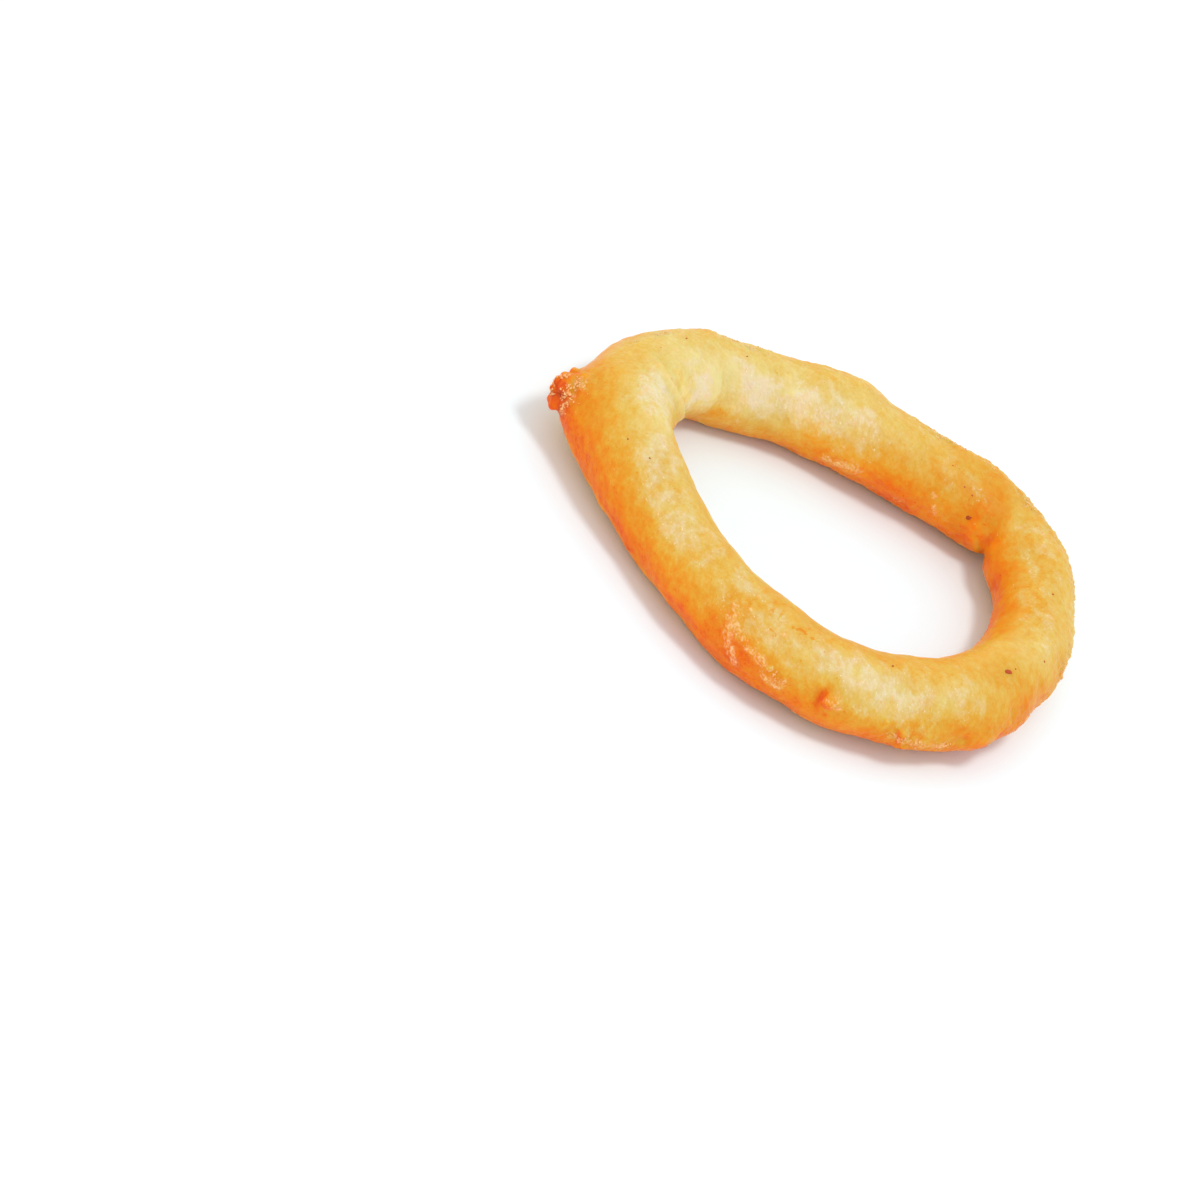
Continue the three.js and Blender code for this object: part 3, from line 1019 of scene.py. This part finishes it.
# %% [markdown]
# ## Relief of the crust
#
# Batter that puffs in hot oil sets in slow swells, with puckers of a few millimetres and small blind
# bubbles on them, and a rough rim where it dripped. Threads of thin batter stand up a little.
# Geometry Nodes move the skin along its normals.

# %% Relief of the crust
RELIEF = {
    "Swell size": 7.0 * MM,
    "Swell height": 0.20 * MM,
    "Pucker size": 2.6 * MM,
    "Pucker height": 0.15 * MM,
    "Bubble size": 1.6 * MM,
    "Bubble height": 0.06 * MM,
    "Rough size": 0.9 * MM,
    "Rough height": 0.50 * MM,
    "Thread height": 0.14 * MM,
}


def relief_tree():
    make, given, result = geometry_tree("crust relief", RELIEF)
    number = given.outputs
    where = make.add("GeometryNodeInputPosition").outputs[0]
    swell = make.wave(where, number["Swell size"], number["Swell height"])
    pucker = make.wave(where, number["Pucker size"], number["Pucker height"])
    rough = make.wave(where, number["Rough size"], number["Rough height"])
    spot = make.scaled(where, make.math("DIVIDE", 1, number["Bubble size"]))
    cells = make.add("ShaderNodeTexVoronoi", {"feature": "SMOOTH_F1"}, Vector=spot, Scale=1.0)
    round_top = make.math("SUBTRACT", 0.5, cells.outputs["Distance"])
    bubble = make.math("MULTIPLY", round_top, make.math("MULTIPLY", 2, number["Bubble height"]))
    total = make.math("ADD", make.math("ADD", swell, pucker), bubble)
    total = make.math("ADD", total, make.math("MULTIPLY", rough, named(make, "ragged")))
    thread = make.math("MULTIPLY", named(make, "laced"), number["Thread height"])
    total = make.math("ADD", total, thread)
    finish_tree(make, given, result, pushed_out(make, number["Geometry"], total))
    return make


crust = run_tree(crust, relief_tree(), fried_batter, RELIEF)
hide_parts(RING_NODE)
dress(crust)

# %% [markdown]
# ## Crumbs
#
# Bits of batter that broke off in the oil stick to the crust: in clumps on the knob and along the
# lower rim, in lacy trails down one flank, and here and there elsewhere. Geometry Nodes scatter small
# lumps where the attribute "crumbed" says, half sunk in the skin, and make every one of them uneven.

# %% Crumb scatter
CRUMBS = {
    "Crowding": 7e6,  # crumbs to a square metre where they lie thickest
    "Clump size": 1.6 * MM,
    "Bare stretch": 6.0 * MM,
    "Least radius": 0.10 * MM,
    "Most radius": 0.34 * MM,
    "Unevenness": 0.08 * MM,
}
CLUMPING, BARENESS = 0.8, 0.5  # how much clumps add, and bare stretches take away
CROWDED = (0.46, 0.62)  # below the first no crumbs lie, above the second they lie thickest
MOSTLY_SMALL = 1.8  # a higher power makes large crumbs rarer
LEAST_STRETCH, MOST_STRETCH = (0.7, 0.6, 0.5), (1.5, 1.0, 0.9)
FULL_TURN = 6.283
BUMP_SIZE = 0.35 * MM
SCATTER_SEED, SIZE_SEED, TURN_SEED, STRETCH_SEED = 4, 9, 21, 33


def random_vector(make, least, most, seed):
    draw = make.add("FunctionNodeRandomValue", {"data_type": "FLOAT_VECTOR"}, Seed=seed)
    make.feed(draw.inputs[0], least)
    make.feed(draw.inputs[1], most)
    return draw.outputs[0]


def crumb_size(make, number, crumbed):
    """Radius of each crumb: mostly small, and larger where they lie thick."""
    draw = make.add("FunctionNodeRandomValue", Seed=SIZE_SEED)
    make.feed(draw.inputs[2], 0.0)
    make.feed(draw.inputs[3], 1.0)
    span = make.math("SUBTRACT", number["Most radius"], number["Least radius"])
    size = make.math("MULTIPLY", make.math("POWER", draw.outputs[1], MOSTLY_SMALL), span)
    return make.math("ADD", make.math("MULTIPLY", size, crumbed), number["Least radius"])


def crumb_tree():
    make, given, result = geometry_tree("crumb scatter", CRUMBS)
    number = given.outputs
    crumbed = named(make, "crumbed")
    place = make.add("GeometryNodeInputPosition").outputs[0]
    clumps = make.wave(place, number["Clump size"], CLUMPING, detail=2.0)
    clumps = make.math("ADD", crumbed, clumps)
    clumps = make.math("ADD", clumps, make.wave(place, number["Bare stretch"], BARENESS))
    spots = make.add(
        "GeometryNodeDistributePointsOnFaces",
        Mesh=number["Geometry"],
        Density=make.math("MULTIPLY", make.step(clumps, *CROWDED), number["Crowding"]),
        Seed=SCATTER_SEED,
    )
    lump = make.add("GeometryNodeMeshIcoSphere", Radius=1.0, Subdivisions=2).outputs[0]
    stretch = random_vector(make, LEAST_STRETCH, MOST_STRETCH, STRETCH_SEED)
    lumps = make.add(
        "GeometryNodeInstanceOnPoints",
        Points=spots.outputs["Points"],
        Instance=lump,
        Rotation=random_vector(make, (0, 0, 0), (FULL_TURN,) * 3, TURN_SEED),
        Scale=make.scaled(stretch, crumb_size(make, number, crumbed)),
    )
    whole = make.add("GeometryNodeRealizeInstances", Geometry=lumps.outputs[0]).outputs[0]
    where = make.add("GeometryNodeInputPosition").outputs[0]
    uneven = make.wave(where, BUMP_SIZE, number["Unevenness"])
    finish_tree(make, given, result, pushed_out(make, whole, uneven))
    return make


# %% [markdown]
# A crumb is crisp batter, and too thin to glow. It keeps the skin's attribute of browning and painted
# shade, so crumbs on pale or painted-lit batter are straw-coloured and crumbs on browned or
# painted-shaded batter are orange.

# %% Crumbs
CRUMB_LIGHT = (0.94, 0.58, 0.26)
CRUMB_DARK = (0.86, 0.31, 0.07)
PALE_CRUMB_LIGHT = (0.82, 0.62, 0.30)
PALE_CRUMB_DARK = (0.74, 0.45, 0.13)
CRUMB_MIX = (0.55, 0.5, 0.9)  # how light on the whole; size in mm of its changes, and how much
CRUMB_BROWNS = (0.35, 0.75)  # browning and painted shade of the skin from which, and to which, the crumbs turn orange
CRUMB_GRAIN = 0.6


def crumb_material():
    material, make, shader = new_material("fried_crumb")
    where = make.add("ShaderNodeTexCoord").outputs["Object"]
    light, size, change = CRUMB_MIX
    share = make.math("ADD", light, make.wave(where, size * MM, change, detail=2.0))
    share = make.step(share, 0.0, 1.0)
    brown = mixed(make, share, (*CRUMB_DARK, 1), (*CRUMB_LIGHT, 1))
    pale = mixed(make, share, (*PALE_CRUMB_DARK, 1), (*PALE_CRUMB_LIGHT, 1))
    # orange where the skin is browned or in painted shade, straw-coloured where it is pale or painted
    # as lit
    colour = mixed(make, make.step(attribute(make, "browning"), *CRUMB_BROWNS), pale, brown)
    batter_skin(shader, make, where, colour, CRUMB_GRAIN, spread=0)
    return material


crumbs = new_object("crumbs", crust.data.copy())
crumbs.data.materials.clear()
crumbs = run_tree(crumbs, crumb_tree(), crumb_material(), CRUMBS)
dress(crumbs)
print("the crumbs keep their browning:", "browning" in crumbs.data.attributes)

# %% [markdown]
# ## Burnt specks
#
# Flour that settled in the fryer burns and sticks to the crust as flat specks of dark red-brown.
# Each is a small uneven flake, laid on the finished crust by casting its points onto it.

# %% Burnt specks
SPECKS = [  # turn, side, length and width in mm, how far round it is turned, degrees
    (52.4, 160.7, 0.95, 0.7, 60),
    (344.9, 79.1, 1.6, 0.85, 150),
    (347.4, 77.0, 0.35, 0.3, 0),
    (358.4, 59.8, 0.5, 0.4, 20),
    (308.6, 91.8, 0.5, 0.4, 70),
    (21.9, 83.9, 0.45, 0.3, 90),
    (160.6, 81.2, 0.6, 0.35, 10),
    (60.4, 131.0, 0.32, 0.26, 0),
    (57.1, 134.0, 0.3, 0.28, 0),
    (67.9, 113.5, 0.3, 0.24, 0),
    (49.1, 70.5, 0.3, 0.24, 0),
    (144.2, 91.5, 0.35, 0.3, 0),
    (208.8, 68.3, 0.4, 0.25, 40),
    (203.6, 51.7, 0.32, 0.25, 0),
]
SPECK_RIM = 10  # points round the rim of a speck
SPECK_LIFT = 0.05 * MM
SPECK_RINGS = ((1.0, -0.03 * MM), (0.75, SPECK_LIFT), (0.35, 1.4 * SPECK_LIFT))  # share out, lift
SPECK_UNEVENNESS = 0.25
CAST_FROM = 2 * MM  # height above the crust from which its points are cast
BURNT_DARK = (0.33, 0.034, 0.006)
BURNT_LIGHT = (0.50, 0.085, 0.016)
rng = np.random.default_rng(7)


def make_specks(name, rows, material):
    """Flat uneven flakes lying on the crust."""
    found = Crust(crust.data)
    work = bmesh.new()
    for turn, side, length, width, angle in rows:
        centre, _ = found.section(turn)
        top = found.place(turn, side)
        out = (top - centre).normalized()
        long_way = out.cross(Vector((0, 0, 1))).normalized()
        long_way.rotate(Matrix.Rotation(math.radians(angle), 3, out))
        short_way = out.cross(long_way)
        rings = []
        for share, lift in SPECK_RINGS:
            ring = []
            for i in range(SPECK_RIM):
                bearing = 2 * math.pi * i / SPECK_RIM
                at_rim = share == 1.0
                uneven = rng.uniform(-SPECK_UNEVENNESS, SPECK_UNEVENNESS) if at_rim else 0
                reach = share * (1 + uneven)
                way = long_way * (math.cos(bearing) * reach * length / 2)
                way += short_way * (math.sin(bearing) * reach * width / 2)
                start = top + way * MM + out * CAST_FROM
                ring.append(work.verts.new(found.hit(start, -out) + out * lift))
            rings.append(ring)
        for low, high in zip(rings[:-1], rings[1:]):
            for i in range(SPECK_RIM):
                j = (i + 1) % SPECK_RIM
                work.faces.new((low[i], low[j], high[j], high[i]))
        work.faces.new(rings[-1])
        work.faces.new(rings[0][::-1])
    bmesh.ops.recalc_face_normals(work, faces=work.faces)
    mesh = bpy.data.meshes.new(name)
    work.to_mesh(mesh)
    work.free()
    mesh.materials.append(material)
    return new_object(name, mesh)


# %% Specks on the crust


def speck_material():
    material, make, shader = new_material("burnt_flour")
    where = make.add("ShaderNodeTexCoord").outputs["Object"]
    share = make.math("ADD", 0.5, make.wave(where, 0.4 * MM, 0.8, detail=2.0))
    colour = mixed(make, share, (*BURNT_DARK, 1), (*BURNT_LIGHT, 1))
    make.feed(shader.inputs["Base Color"], colour)
    make.feed(shader.inputs["Roughness"], make.math("ADD", 0.5, make.wave(where, 0.5 * MM, 0.2)))
    shader.inputs["Specular IOR Level"].default_value = 0.2
    bump = make.add("ShaderNodeBump", Height=share, Strength=0.5, Distance=0.1 * MM)
    make.feed(shader.inputs["Normal"], bump.outputs["Normal"])
    return material


dress(make_specks("burnt_specks", SPECKS, speck_material()))

# %% [markdown]
# ## The end
#
# The dressed ring has to stay the size of the solid model, so both boxes are written down.

# %% Size and finish
boxes = {"cad": [list(c) for c in CAD_BOX], "visual": [list(c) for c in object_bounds()]}
for name, (low, high) in boxes.items():
    print(name, "mm:", [round((b - a) / MM, 2) for a, b in zip(low, high)])
